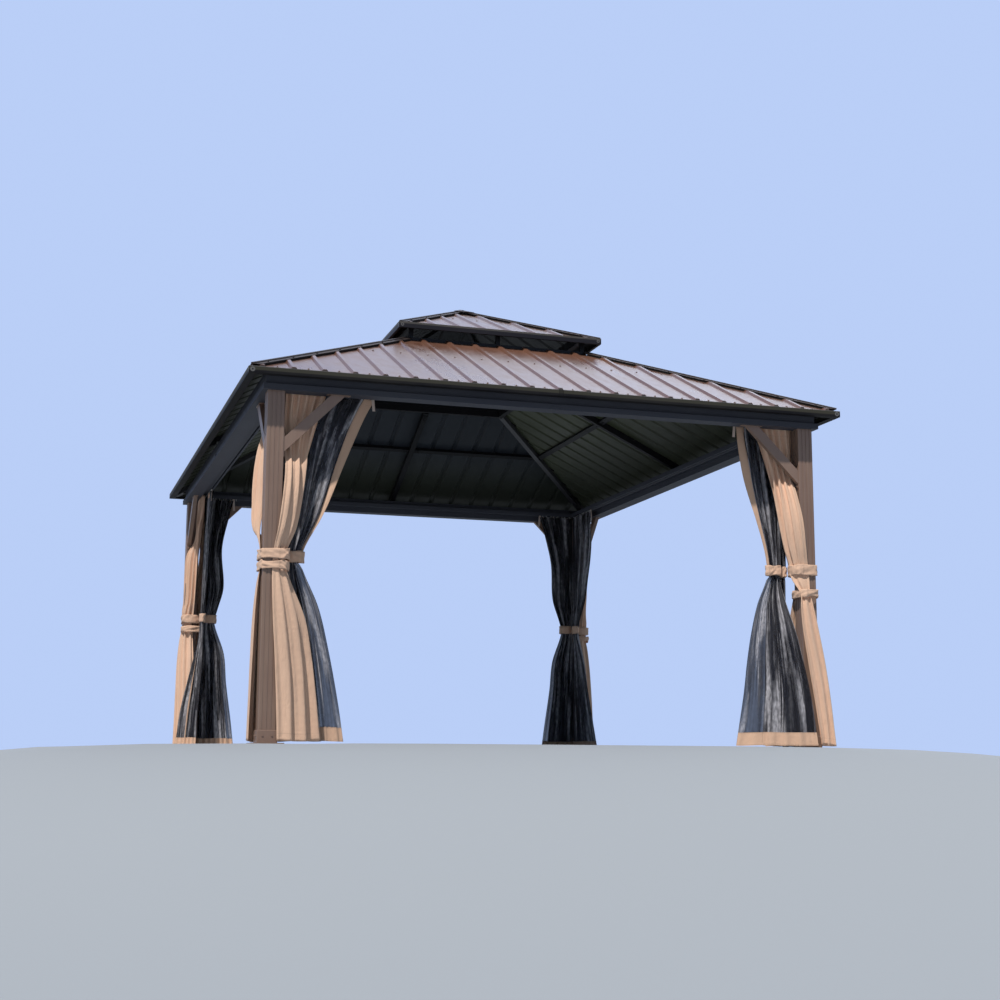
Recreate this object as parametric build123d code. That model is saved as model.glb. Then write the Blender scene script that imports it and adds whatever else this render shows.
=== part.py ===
from build123d import *
import math
import os

# Two-tier hipped metal garden gazebo, standing on four posts.
# Frame: origin at the middle of the footprint on the floor the feet stand on,
# X across the front, Y from front to back (the front is at -Y), Z up.
# All sizes are in millimetres.

# Whole gazebo
roof_width = 3720.0        # over the gutters, left to right
roof_depth = 4500.0        # over the gutters, front to back
eave_overhang = 131.0      # gutter face past the outer face of a post
head_room = 2000.0         # floor to underside of the beams

# Posts and feet
post_side = 100.0
post_round = 5.0
flute_width = 10.0
flute_depth = 2.5
flute_pitch = 26.0
foot_plate_side = 184.0
foot_plate_thick = 6.0
foot_plate_corner = 8.0
foot_skirt_wall = 8.0
foot_skirt_height = 70.0
foot_skirt_corner = 5.0
foot_hole_radius = 6.0
foot_hole_inset = 16.0     # hole centre in from the edge of the plate

# Beams, each with a lip along its lower outer edge
beam_width = 100.0
beam_height = 110.0
beam_lip_reach = 18.0
beam_lip_height = 33.0
beam_past_post = 30.0      # lip face past the outer face of a post

# Knee braces, flat bars at 45 degrees
brace_reach = 356.0        # from the corner to the far edge of the bar
brace_width = 60.0
brace_thick = 30.0
brace_inset = 6.0          # back from the outer face of the post

# Double curtain track on the inner face of each beam
track_width = 80.0
track_height = 28.0
track_wall = 6.0
track_slot = 12.0
track_slot_pitch = 42.0
track_lift = 40.0          # track underside above the beam underside

# Gutter
gutter_width = 45.0
gutter_height = 38.0
gutter_wall = 2.0
gutter_below_beam_top = 10.0
drip_gap = 13.0            # roof edge back from the gutter's front wall

# Roof sheets
sheet_thick = 1.5
rib_height = 15.0
rib_foot = 42.0
rib_crest = 20.0
rib_pitch = 178.0
hip_inset = 9.0            # sheet edge back from the hip line

# Lower roof
eave_drop = 12.0           # underside of the sheet at the eave, below the beam top
lower_rise = 588.0
vent_half_x = 630.0
vent_half_y = 970.0

# Frame under the lower roof
rafter_width = 40.0
rafter_depth = 44.0
purlin_width = 40.0
purlin_depth = 26.0
purlin_share = 0.605       # how far up the slope the purlin sits

# Vent frame between the two roofs
vent_bar = 40.0
vent_base_height = 62.0
vent_lap = 3.0             # vent frame back from the top edge of the sheets
vent_upstand = 22.0
vent_gap = 72.0
vent_top_height = 38.0
strut_side = 28.0

# Upper roof
upper_eave_reach = 79.0    # upper eave past the lower roof's top edge
upper_rise = 425.0
upper_rafter_width = 30.0
upper_rafter_depth = 34.0
fascia_height = 40.0
fascia_wall = 4.0
fascia_foot = 18.0
fascia_above_rib = 4.0
fascia_joint = 0.5         # half the open joint at each mitre
hub_half = 45.0
hub_height = 70.0

# Hip caps and apex cap
cap_half_width = 38.0
cap_thick = 3.0
cap_ridge_half = 13.0
cap_ridge_height = 9.0
apex_cap_half = 75.0
apex_cap_thick = 4.0

# Curtains, one plain closed body for each gathered bundle
curtain_clear_floor = 12.0
curtain_post_gap = 20.0
curtain_tie_height = 1045.0
privacy_lane = 70.0        # nearest face, in from the outer face of the post
privacy_thick = 46.0
privacy_top = 255.0
privacy_tie = 92.0
privacy_bottom = 250.0
net_lane_gap = 4.0
net_thick = 30.0
net_corner_gap = 55.0
net_tie = 118.0
net_top_front_left = 560.0     # reach along the track, and over the floor
net_top_front_right = 450.0
net_top_back_left = 300.0
net_top_back_right = 350.0
net_top_sides = 480.0
net_bottom_front = 430.0
net_bottom_back = 300.0
net_bottom_sides = 430.0

# Everything below follows from the sizes above
half_x = roof_width / 2
half_y = roof_depth / 2
post_out_x = half_x - eave_overhang
post_out_y = half_y - eave_overhang
post_in_x = post_out_x - post_side
post_in_y = post_out_y - post_side
post_mid_x = post_out_x - post_side / 2
post_mid_y = post_out_y - post_side / 2
beam_out_x = post_out_x + beam_past_post
beam_out_y = post_out_y + beam_past_post
beam_in_x = beam_out_x - beam_width
beam_in_y = beam_out_y - beam_width
beam_top = head_room + beam_height
track_z = head_room + track_lift
gutter_top = beam_top - gutter_below_beam_top
gutter_in_x = half_x - gutter_width
gutter_in_y = half_y - gutter_width

eave_x = half_x - gutter_wall - drip_gap
eave_y = half_y - gutter_wall - drip_gap
eave_z = beam_top - eave_drop
vent_z = eave_z + lower_rise
ring_x = vent_half_x - vent_lap
ring_y = vent_half_y - vent_lap
ring_top = vent_z + vent_upstand
upper_ring_z = ring_top + vent_gap
upper_eave_x = vent_half_x + upper_eave_reach
upper_eave_y = vent_half_y + upper_eave_reach

TALL = 6000.0
SIDES = ("front", "back", "left", "right")
CORNERS = {"front_left": (-1, -1), "front_right": (1, -1),
           "back_left": (-1, 1), "back_right": (1, 1)}


class Tier:
    """One hipped roof: four planes rising from an eave rectangle."""

    def __init__(self, eave_half_x, eave_half_y, eave_level, top_half_x, top_half_y, rise):
        self.ex = eave_half_x
        self.ey = eave_half_y
        self.ez = eave_level
        self.tx = top_half_x
        self.ty = top_half_y
        self.rise = rise

    def half_x_at(self, z):
        return self.ex - (z - self.ez) * (self.ex - self.tx) / self.rise

    def half_y_at(self, z):
        return self.ey - (z - self.ez) * (self.ey - self.ty) / self.rise

    def z_at_x(self, x):
        return self.ez + (self.ex - x) * self.rise / (self.ex - self.tx)

    def z_at_y(self, y):
        return self.ez + (self.ey - y) * self.rise / (self.ey - self.ty)

    def body(self, lift, low, high):
        """The space under the four planes, raised by lift, between two levels."""
        apex = self.ez + self.rise * self.ex / (self.ex - self.tx)
        high = min(high, apex + lift - 2)
        wide, deep = 2 * self.half_x_at(low - lift), 2 * self.half_y_at(low - lift)
        top_wide, top_deep = 2 * self.half_x_at(high - lift), 2 * self.half_y_at(high - lift)
        side_x, side_y = (wide - top_wide) / 2, (deep - top_deep) / 2
        frustum = Wedge(wide, high - low, deep, side_x, side_y, wide - side_x, deep - side_y,
                        align=(Align.CENTER, Align.MIN, Align.CENTER))
        return Pos(0, 0, low) * Rot(90, 0, 0) * frustum

    def sector(self, side, inset=0.0):
        """Upright block standing on the plan outline of one slope."""
        if side in ("front", "back"):
            outline = [(-self.ex + inset, self.ey), (self.ex - inset, self.ey),
                       (self.tx - inset, self.ty), (-self.tx + inset, self.ty)]
            sign = 1 if side == "back" else -1
            outline = [(x, sign * y) for x, y in outline]
        else:
            outline = [(self.ex, -self.ey + inset), (self.ex, self.ey - inset),
                       (self.tx, self.ty - inset), (self.tx, -self.ty + inset)]
            sign = 1 if side == "right" else -1
            outline = [(sign * x, y) for x, y in outline]
        return extrude(make_face(Polyline(*outline, close=True)), TALL)

    def slope_plane(self, side):
        """Plane at the middle of an eave: local x along the eave, y square to the
        sheet and upwards, z up the slope."""
        if side in ("front", "back"):
            sign = 1 if side == "back" else -1
            run = self.ey - self.ty
            origin = (0, sign * self.ey, self.ez)
            up = Vector(0, -sign * run, self.rise).normalized()
            along = Vector(sign, 0, 0)
        else:
            sign = 1 if side == "right" else -1
            run = self.ex - self.tx
            origin = (sign * self.ex, 0, self.ez)
            up = Vector(-sign * run, 0, self.rise).normalized()
            along = Vector(0, -sign, 0)
        return Plane(origin=origin, x_dir=along, z_dir=up), math.hypot(run, self.rise)

    def slope_bar(self, side, wide, deep, past=60.0):
        """A straight bar under the middle of a slope, running up it."""
        plane, length = self.slope_plane(side)
        bar = Pos(0, -deep / 2, length / 2) * Box(wide, deep, length + 2 * past)
        return plane * bar

    def hip_bar(self, sx, sy, wide, deep, past=60.0):
        """A straight bar under one hip line."""
        foot = Vector(sx * self.ex, sy * self.ey, self.ez)
        head = Vector(sx * self.tx, sy * self.ty, self.ez + self.rise)
        run = head - foot
        across = run.cross(Vector(0, 0, 1)).normalized()
        plane = Plane(origin=foot, x_dir=across, z_dir=run.normalized())
        lift = -deep / 2 if plane.y_dir.Z > 0 else deep / 2
        bar = Pos(0, lift, run.length / 2) * Box(wide, deep, run.length + 2 * past)
        return plane * bar

    def sheet(self, side):
        """Ribbed sheet of one slope, cut back from the hips."""
        plane, length = self.slope_plane(side)
        reach = self.ex if side in ("front", "back") else self.ey
        count = int((2 * reach - rib_foot) / rib_pitch)
        lower = [(-reach, 0.0)]
        upper = [(-reach, sheet_thick)]
        for i in range(count + 1):
            mid = (i - count / 2) * rib_pitch
            if abs(mid) + rib_foot / 2 > reach - 1:
                continue
            lower += self.rib(mid, rib_foot, rib_crest, 0.0, rib_height - sheet_thick)
            upper += self.rib(mid, rib_foot + 1.2, rib_crest + 1.2, sheet_thick, rib_height)
        lower.append((reach, 0.0))
        upper.append((reach, sheet_thick))
        outline = lower + upper[::-1]
        profile = plane * make_face(Polyline(*outline, close=True))
        return extrude(profile, length, dir=plane.z_dir) & self.sector(side, hip_inset)

    @staticmethod
    def rib(mid, foot, crest, low, high):
        return [(mid - foot / 2, low), (mid - crest / 2, high),
                (mid + crest / 2, high), (mid + foot / 2, low)]

    def hip_strip(self, sx, sy, half_width):
        """Upright block along the plan of one hip line."""
        foot = Vector(sx * self.ex, sy * self.ey, 0)
        head = Vector(sx * self.tx, sy * self.ty, 0)
        plane = Plane(origin=foot, x_dir=(head - foot).normalized(), z_dir=(0, 0, 1))
        length = (head - foot).length
        strip = Pos(length / 2, 0, 0) * Rectangle(length, 2 * half_width)
        return extrude(plane * strip, TALL)

    def hip_cap(self, sx, sy):
        """Bent strip over a hip, lying on the rib crests, with a raised ridge."""
        steep = min(self.ex - self.tx, self.ey - self.ty) / self.rise
        rest = rib_height / math.sin(math.atan(steep))
        low = self.ez - 80
        high = self.ez + self.rise + 120
        seat = self.body(rest, low, high + 20)
        flange = self.body(rest + cap_thick, low, high) & self.hip_strip(sx, sy, cap_half_width)
        ridge = self.body(rest + cap_ridge_height, low, high)
        ridge = ridge & self.hip_strip(sx, sy, cap_ridge_half)
        roof = Pos(0, 0, TALL / 2) * Box(2 * self.ex, 2 * self.ey, TALL)
        return ((flange + ridge) - seat) & roof


lower = Tier(eave_x, eave_y, eave_z, vent_half_x, vent_half_y, lower_rise)
upper_eave_z = upper_ring_z + vent_top_height - upper_rise * (upper_eave_x - ring_x) / upper_eave_x
upper_full = Tier(upper_eave_x, upper_eave_y, upper_eave_z, 0.0, 0.0, upper_rise)
hub_top_z = upper_full.z_at_x(hub_half)
upper = Tier(upper_eave_x, upper_eave_y, upper_eave_z, hub_half,
             upper_full.half_y_at(hub_top_z), hub_top_z - upper_eave_z)


def joined(shapes):
    """Like pieces that do not touch, kept as one node."""
    whole = None
    for shape in shapes:
        whole = shape if whole is None else whole + shape
    return whole


def side_bar(side, out_x, out_y, outline, depth, shy=0.0):
    """Bar along one side of the roof, mitred at both ends and kept shy of the joint.

    The outline is given as (distance in from the outer face, level)."""
    sign = 1 if side in ("back", "right") else -1
    if side in ("front", "back"):
        face = Plane.YZ * make_face(Polyline(*[(sign * (out_y - d), z) for d, z in outline], close=True))
        bar = extrude(face, out_x, both=True)
        near = out_x - shy
        corner = [(-near, sign * out_y), (near, sign * out_y),
                  (near - depth, sign * (out_y - depth)), (-near + depth, sign * (out_y - depth))]
    else:
        face = Plane.XZ * make_face(Polyline(*[(sign * (out_x - d), z) for d, z in outline], close=True))
        bar = extrude(face, out_y, both=True)
        near = out_y - shy
        corner = [(sign * out_x, -near), (sign * out_x, near),
                  (sign * (out_x - depth), near - depth), (sign * (out_x - depth), -near + depth)]
    return bar & extrude(make_face(Polyline(*corner, close=True)), TALL)


def make_post():
    """Fluted square post, drawn about its own middle."""
    outline = fillet(Rectangle(post_side, post_side).vertices(), post_round)
    for turn in range(4):
        for step in (-1, 0, 1):
            groove = Pos(step * flute_pitch, post_side / 2) * Rectangle(flute_width, 2 * flute_depth)
            outline -= Rot(0, 0, 90 * turn) * groove
    return extrude(outline, head_room - foot_plate_thick)


def make_foot():
    """Base plate with four anchor holes and a skirt round the post."""
    outline = Rectangle(foot_plate_side, foot_plate_side)
    plate = extrude(chamfer(outline.vertices(), foot_plate_corner), foot_plate_thick)
    reach = foot_plate_side / 2 - foot_hole_inset
    for sx, sy in CORNERS.values():
        plate -= Pos(sx * reach, sy * reach) * extrude(Circle(foot_hole_radius), foot_plate_thick)
    skirt_side = post_side + 2 * foot_skirt_wall
    outline = chamfer(Rectangle(skirt_side, skirt_side).vertices(), foot_skirt_corner)
    skirt = extrude(outline, foot_skirt_height)
    skirt = chamfer(skirt.faces().sort_by(Axis.Z)[-1].edges(), foot_skirt_wall / 3)
    skirt -= extrude(Rectangle(post_side, post_side), foot_skirt_height)
    return plate + Pos(0, 0, foot_plate_thick) * skirt


def make_beam(side):
    outline = [(0, head_room), (beam_width, head_room), (beam_width, beam_top),
               (beam_lip_reach, beam_top), (beam_lip_reach, head_room + beam_lip_height + 6),
               (0, head_room + beam_lip_height)]
    return side_bar(side, beam_out_x, beam_out_y, outline, beam_width)


def make_gutter(side):
    bottom = gutter_top - gutter_height
    back = min(lower.z_at_x(gutter_in_x), lower.z_at_y(gutter_in_y)) - 3
    outline = [(0, bottom), (gutter_width, bottom), (gutter_width, back),
               (gutter_width - gutter_wall, back), (gutter_width - gutter_wall, bottom + gutter_wall),
               (gutter_wall, bottom + gutter_wall), (gutter_wall, gutter_top), (0, gutter_top)]
    return side_bar(side, half_x, half_y, outline, gutter_width)


def brace_pair(sx, sy):
    """The two flat braces at one corner."""
    inner = brace_reach - brace_width * math.sqrt(2)
    outline = [(inner, head_room), (brace_reach, head_room),
               (0, head_room - brace_reach), (0, head_room - inner)]
    near_y = post_out_y - brace_inset - brace_thick / 2
    near_x = post_out_x - brace_inset - brace_thick / 2
    face_x = Plane.XZ * make_face(Polyline(*[(sx * (post_in_x - d), z) for d, z in outline], close=True))
    face_y = Plane.YZ * make_face(Polyline(*[(sy * (post_in_y - d), z) for d, z in outline], close=True))
    along_x = Pos(0, sy * near_y, 0) * extrude(face_x, brace_thick / 2, both=True)
    along_y = Pos(sx * near_x, 0, 0) * extrude(face_y, brace_thick / 2, both=True)
    return along_x + along_y


def make_track(side):
    """Double curtain track: one extrusion with two slots open downwards."""
    mid = track_width / 2
    deep = track_height - track_wall
    face = Pos(mid, track_z + track_height / 2) * Rectangle(track_width, track_height)
    for step in (-1, 1):
        at = mid + step * track_slot_pitch / 2
        face -= Pos(at, track_z + deep / 2) * Rectangle(track_slot, deep)
    sign = 1 if side in ("back", "right") else -1
    if side in ("front", "back"):
        plane = Plane(origin=(0, sign * beam_in_y, 0), x_dir=(0, -sign, 0), z_dir=(-sign, 0, 0))
        length = beam_in_x - track_width
    else:
        plane = Plane(origin=(sign * beam_in_x, 0, 0), x_dir=(-sign, 0, 0), z_dir=(0, sign, 0))
        length = beam_in_y
    return extrude(plane * face, length, both=True)


def beam_blocks():
    """The space taken up by the four beams, for notching the rafters."""
    outer = Pos(0, 0, head_room + beam_height / 2) * Box(2 * beam_out_x, 2 * beam_out_y, beam_height)
    inner = Pos(0, 0, head_room + beam_height / 2) * Box(2 * beam_in_x, 2 * beam_in_y, beam_height)
    return outer - inner


def rafter_zone():
    """From the back of the gutters to the outer face of the vent frame."""
    outer = Pos(0, 0, TALL / 2) * Box(2 * gutter_in_x, 2 * gutter_in_y, TALL)
    return outer - Pos(0, 0, TALL / 2) * Box(2 * ring_x, 2 * ring_y, TALL)


def make_hip_rafters():
    under = lower.body(0, eave_z - 2 * beam_height, vent_z + vent_base_height)
    zone = (rafter_zone() & under) - beam_blocks()
    past = 4 * rafter_width
    return joined([lower.hip_bar(sx, sy, rafter_width, rafter_depth, past) & zone
                   for sx, sy in CORNERS.values()])


def make_mid_rafters():
    zone = rafter_zone() - beam_blocks()
    return joined([lower.slope_bar(side, rafter_width, rafter_depth) & zone for side in SIDES])


def purlin_pair(side):
    """The two halves of the purlin across one slope."""
    plane, length = lower.slope_plane(side)
    span = 2 * max(eave_x, eave_y)
    bar = Pos(0, -purlin_depth / 2, length * purlin_share) * Box(span, purlin_depth, purlin_width)
    bar = (plane * bar) & lower.sector(side)
    for sx, sy in CORNERS.values():
        bar -= lower.hip_bar(sx, sy, rafter_width, rafter_depth)
    return bar - lower.slope_bar(side, rafter_width, rafter_depth)


def ring_bars(level, height, along_y):
    """Two bars of a vent frame ring: along Y full length, along X between them."""
    if along_y:
        bar = Pos(ring_x - vent_bar / 2, 0, level + height / 2) * Box(vent_bar, 2 * ring_y, height)
    else:
        bar = Pos(0, ring_y - vent_bar / 2, level + height / 2)
        bar *= Box(2 * (ring_x - vent_bar), vent_bar, height)
    return joined([bar, Rot(0, 0, 180) * bar])


def make_vent_base(along_y):
    return ring_bars(ring_top - vent_base_height, vent_base_height, along_y)


def make_vent_top(along_y):
    bars = ring_bars(upper_ring_z, 2 * vent_top_height, along_y)
    return bars & upper_full.body(0, ring_top, upper_eave_z + upper_rise / 2)


def make_struts():
    """Eight short uprights between the two rings of the vent frame."""
    mid_x = ring_x - vent_bar / 2
    mid_y = ring_y - vent_bar / 2
    strut = Pos(0, 0, ring_top + vent_gap / 2) * Box(strut_side, strut_side, vent_gap)
    places = [(ix, iy) for ix in (-1, 0, 1) for iy in (-1, 0, 1) if ix or iy]
    return joined([Pos(ix * mid_x, iy * mid_y, 0) * strut for ix, iy in places])


def make_upper_rafters():
    under = upper.body(0, ring_top, TALL)
    ring = Pos(0, 0, TALL / 2) * Box(2 * (ring_x - vent_bar), 2 * (ring_y - vent_bar), TALL)
    hub = Pos(0, 0, TALL / 2) * Box(2 * hub_half, 2 * hub_half, TALL)
    zone = (ring & under) - hub
    return joined([upper.hip_bar(sx, sy, upper_rafter_width, upper_rafter_depth) & zone
                   for sx, sy in CORNERS.values()])


def make_hub():
    """Block at the top that the four upper rafters run into."""
    tall = hub_height + hub_half
    block = Pos(0, 0, hub_top_z - hub_height + tall / 2) * Box(2 * hub_half, 2 * hub_half, tall)
    return block & upper_full.body(0, upper_eave_z, TALL)


def make_fascia():
    """Four trim strips round the upper eave."""
    top = upper_eave_z + rib_height + fascia_above_rib
    out_x = upper_eave_x + fascia_wall
    out_y = upper_eave_y + fascia_wall
    base = top - fascia_height
    outline = [(0, base), (fascia_foot, base), (fascia_foot, base + fascia_wall),
               (fascia_wall, base + fascia_wall), (fascia_wall, top), (0, top)]
    return joined([side_bar(side, out_x, out_y, outline, fascia_foot, fascia_joint)
                   for side in SIDES])


def make_apex_cap():
    """Small pyramid of sheet over the place where the upper hip caps meet."""
    steep = min(upper_full.ex, upper_full.ey) / upper_full.rise
    rest = rib_height / math.sin(math.atan(steep)) + cap_ridge_height
    low = hub_top_z - 100
    shell = upper_full.body(rest + apex_cap_thick, low, TALL) - upper_full.body(rest, low, TALL)
    deep = apex_cap_half * upper_full.ey / upper_full.ex
    return shell & Pos(0, 0, TALL / 2) * Box(2 * apex_cap_half, 2 * deep, TALL)


def make_hip_caps(tier):
    return joined([tier.hip_cap(sx, sy) for sx, sy in CORNERS.values()])


def bundle(sx, sy, along_x, spans, near, thick):
    """Closed body of one gathered curtain.

    spans holds (start, end, level) along the beam from the inner face of the post;
    near and thick place the curtain in from the outer face of the post."""
    sections = []
    for start, end, level in spans:
        mid = (start + end) / 2
        if along_x:
            place = Pos(sx * (post_in_x - mid), sy * (post_out_y - near - thick / 2), level)
            sections.append(place * Rectangle(end - start, thick))
        else:
            place = Pos(sx * (post_out_x - near - thick / 2), sy * (post_in_y - mid), level)
            sections.append(place * Rectangle(thick, end - start))
    return loft(sections, ruled=True)


def make_privacy(sx, sy):
    start = curtain_post_gap
    spans = [(start, privacy_bottom, curtain_clear_floor),
             (start, privacy_tie, curtain_tie_height),
             (start, privacy_top, track_z)]
    return bundle(sx, sy, True, spans, privacy_lane, privacy_thick) + \
        bundle(sx, sy, False, spans, privacy_lane, privacy_thick)


def make_nets(name, sx, sy):
    near = privacy_lane + privacy_thick + net_lane_gap
    top = {"front_left": net_top_front_left, "front_right": net_top_front_right,
           "back_left": net_top_back_left, "back_right": net_top_back_right}[name]
    bottom = net_bottom_back if name.startswith("back") else net_bottom_front
    panels = []
    for along_x, top_reach, bottom_reach in ((True, top, bottom), (False, net_top_sides, net_bottom_sides)):
        spans = [(net_corner_gap, bottom_reach, curtain_clear_floor),
                 (net_corner_gap, net_corner_gap + net_tie, curtain_tie_height),
                 (net_corner_gap, top_reach, track_z)]
        panels.append(bundle(sx, sy, along_x, spans, near, net_thick))
    return joined(panels)


def build():
    nodes = {}
    post = make_post()
    foot = make_foot()
    places = [Pos(sx * post_mid_x, sy * post_mid_y, 0) for sx, sy in CORNERS.values()]
    nodes["feet"] = joined([place * foot for place in places])
    nodes["knee_braces"] = joined([brace_pair(sx, sy) for sx, sy in CORNERS.values()])
    nodes["purlins"] = joined([purlin_pair(side) for side in SIDES])
    for name, (sx, sy) in CORNERS.items():
        place = Pos(sx * post_mid_x, sy * post_mid_y, foot_plate_thick)
        nodes["post_" + name] = place * post
        nodes["curtains_" + name] = make_privacy(sx, sy)
        nodes["nets_" + name] = make_nets(name, sx, sy)
    for side in SIDES:
        nodes["beam_" + side] = make_beam(side)
        nodes["track_" + side] = make_track(side)
        nodes["gutter_" + side] = make_gutter(side)
        nodes["lower_sheet_" + side] = lower.sheet(side)
        nodes["upper_sheet_" + side] = upper.sheet(side)
    nodes["hip_rafters"] = make_hip_rafters()
    nodes["mid_rafters"] = make_mid_rafters()
    nodes["vent_base_sides"] = make_vent_base(True)
    nodes["vent_base_ends"] = make_vent_base(False)
    nodes["vent_top_sides"] = make_vent_top(True)
    nodes["vent_top_ends"] = make_vent_top(False)
    nodes["vent_struts"] = make_struts()
    nodes["upper_rafters"] = make_upper_rafters()
    nodes["apex_hub"] = make_hub()
    nodes["upper_fascia"] = make_fascia()
    nodes["lower_hip_caps"] = make_hip_caps(lower)
    nodes["upper_hip_caps"] = make_hip_caps(upper)
    nodes["apex_cap"] = make_apex_cap()
    return nodes


os.makedirs("parts", exist_ok=True)
for node, shape in build().items():
    export_step(shape, "parts/" + node + ".step")
    box = shape.bounding_box()
    print(node, len(shape.solids()), [round(v) for v in (*box.min, *box.max)])
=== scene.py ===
from math import atan, copysign, cos, exp, hypot, pi, radians, sin
from types import SimpleNamespace

import bpy
from mathutils import Matrix, Vector, noise


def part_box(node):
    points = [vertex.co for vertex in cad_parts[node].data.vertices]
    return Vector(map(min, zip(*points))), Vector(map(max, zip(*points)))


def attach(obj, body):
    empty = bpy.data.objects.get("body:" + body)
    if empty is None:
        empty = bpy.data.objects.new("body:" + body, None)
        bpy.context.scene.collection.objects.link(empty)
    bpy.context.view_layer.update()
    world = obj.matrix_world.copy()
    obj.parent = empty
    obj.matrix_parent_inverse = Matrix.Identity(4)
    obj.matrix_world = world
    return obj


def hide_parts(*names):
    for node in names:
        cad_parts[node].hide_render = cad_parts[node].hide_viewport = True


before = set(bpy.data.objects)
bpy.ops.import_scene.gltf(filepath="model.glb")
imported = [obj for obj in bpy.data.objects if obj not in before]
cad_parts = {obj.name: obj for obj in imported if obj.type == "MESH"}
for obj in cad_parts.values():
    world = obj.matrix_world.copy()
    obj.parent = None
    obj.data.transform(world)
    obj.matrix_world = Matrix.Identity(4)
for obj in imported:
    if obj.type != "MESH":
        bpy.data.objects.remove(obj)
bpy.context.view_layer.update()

# Floor
# A pale studio floor, level under the gazebo and falling away gently past it,
# so that a camera just below floor level still sees the feet.
floor_level_half = Vector((2.35, 2.75))
floor_round = 1.6
floor_fall = 0.55
floor_fall_run = 5.0
floor_reach = 70.0
floor_fine = 9.0
floor_steps = 60
floor_colour = (0.34, 0.37, 0.41)
put_in = bpy.context.scene.collection.objects.link


def floor_z(x, y):
    dx = max(abs(x) - floor_level_half.x + floor_round, 0.0)
    dy = max(abs(y) - floor_level_half.y + floor_round, 0.0)
    past = min(max(hypot(dx, dy) - floor_round, 0.0) / floor_fall_run, 1.0)
    return -floor_fall * past * past * (3 - 2 * past)


def floor_line(i):
    t = 2.0 * i / floor_steps - 1.0
    return copysign(abs(t) ** 3 * (floor_reach - floor_fine) + abs(t) * floor_fine, t)


floor_mesh = bpy.data.meshes.new("studio_floor")
floor_row = floor_steps + 1
floor_lines = [floor_line(i) for i in range(floor_row)]
floor_points = [(x, y, floor_z(x, y)) for y in floor_lines for x in floor_lines]
floor_quads = [(a, a + 1, a + floor_row + 1, a + floor_row) for j in range(floor_steps)
               for a in range(j * floor_row, j * floor_row + floor_steps)]
floor_mesh.from_pydata(floor_points, [], floor_quads)
floor_mesh.polygons.foreach_set("use_smooth", [True] * len(floor_quads))
floor_paint = bpy.data.materials.new("studio_floor")
floor_paint.use_nodes = True
floor_surface = floor_paint.node_tree.nodes["Principled BSDF"].inputs
floor_surface["Base Color"].default_value = (*floor_colour, 1)
floor_surface["Roughness"].default_value = 0.9
floor_mesh.materials.append(floor_paint)
floor = bpy.data.objects.new("studio_floor", floor_mesh)
put_in(floor)

# Light
# One broad warm key from high on the front left, an even, slightly cool surround, and a
# weak lamp from the back right that keeps the far sides readable.
key_from_left = radians(40.0)
key_height = radians(58.0)
key_strength = 3.6
key_softness = radians(1.5)
back_strength = 0.7
back_softness = radians(40.0)
surround_colour = (0.6, 0.8, 1.0)
surround_strength = 0.16
backdrop_colour = (0.49, 0.62, 0.93)


def sun(name, strength, softness, colour, way):
    lamp = bpy.data.lights.new(name, "SUN")
    lamp.energy, lamp.angle, lamp.color = strength, softness, colour
    stand = bpy.data.objects.new(name, lamp)
    stand.rotation_mode = "QUATERNION"
    stand.rotation_quaternion = way.to_track_quat("-Z", "Y")
    put_in(stand)


key_way = Vector((sin(key_from_left) * cos(key_height),
                  cos(key_from_left) * cos(key_height), -sin(key_height)))
back_way = Vector((-key_way.x, -key_way.y, key_way.z * 0.8))
sun("key", key_strength, key_softness, (1.0, 0.955, 0.89), key_way)
sun("back", back_strength, back_softness, (0.9, 0.95, 1.0), back_way)


class Wire:
    """An output socket; sums and products of wires add Math nodes."""

    def __init__(self, tree, socket):
        self.tree, self.socket = tree, socket

    __add__ = __radd__ = lambda self, other: self.tree.sum("ADD", self, other)
    __mul__ = __rmul__ = lambda self, other: self.tree.sum("MULTIPLY", self, other)
    __sub__ = lambda self, other: self.tree.sum("SUBTRACT", self, other)
    __rsub__ = lambda self, other: self.tree.sum("SUBTRACT", other, self)
    __gt__ = lambda self, other: self.tree.sum("GREATER_THAN", self, other)


class Tree:
    """A node tree, filled through one method."""

    def __init__(self, tree):
        self.tree = tree

    def node(self, kind, sockets=None, out=0, **settings):
        made = self.tree.nodes.new(kind)
        for name, value in settings.items():
            setattr(made, name, value)
        for name, value in (sockets or {}).items():
            if isinstance(value, Wire):
                self.tree.links.new(value.socket, made.inputs[name])
            else:
                made.inputs[name].default_value = value
        return Wire(self, made.outputs[out])

    def sum(self, operation, a, b=0.0, c=0.0):
        return self.node("ShaderNodeMath", {0: a, 1: b, 2: c}, operation=operation)

    def split(self, vector):
        """The three coordinates of vector."""
        parts = self.node("ShaderNodeSeparateXYZ", {0: vector}).socket.node
        return [Wire(self, out) for out in parts.outputs]


world = bpy.data.worlds.new("surround")
bpy.context.scene.world = world
world.use_nodes = True
world.node_tree.nodes.clear()
sky = Tree(world.node_tree)
lit = sky.node("ShaderNodeBackground", {"Color": (*surround_colour, 1), "Strength": surround_strength})
shown = sky.node("ShaderNodeBackground", {"Color": (*backdrop_colour, 1)})
camera_ray = sky.node("ShaderNodeLightPath", out="Is Camera Ray")
ray = camera_ray.socket.node.outputs
seen = sky.sum("MAXIMUM", camera_ray, Wire(sky, ray["Is Glossy Ray"]))
seen = sky.sum("MAXIMUM", seen, Wire(sky, ray["Is Transmission Ray"]))
blend = sky.node("ShaderNodeMixShader", {0: seen, 1: lit, 2: shown})
sky.tree.links.new(blend.socket, sky.tree.nodes.new("ShaderNodeOutputWorld").inputs[0])

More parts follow.
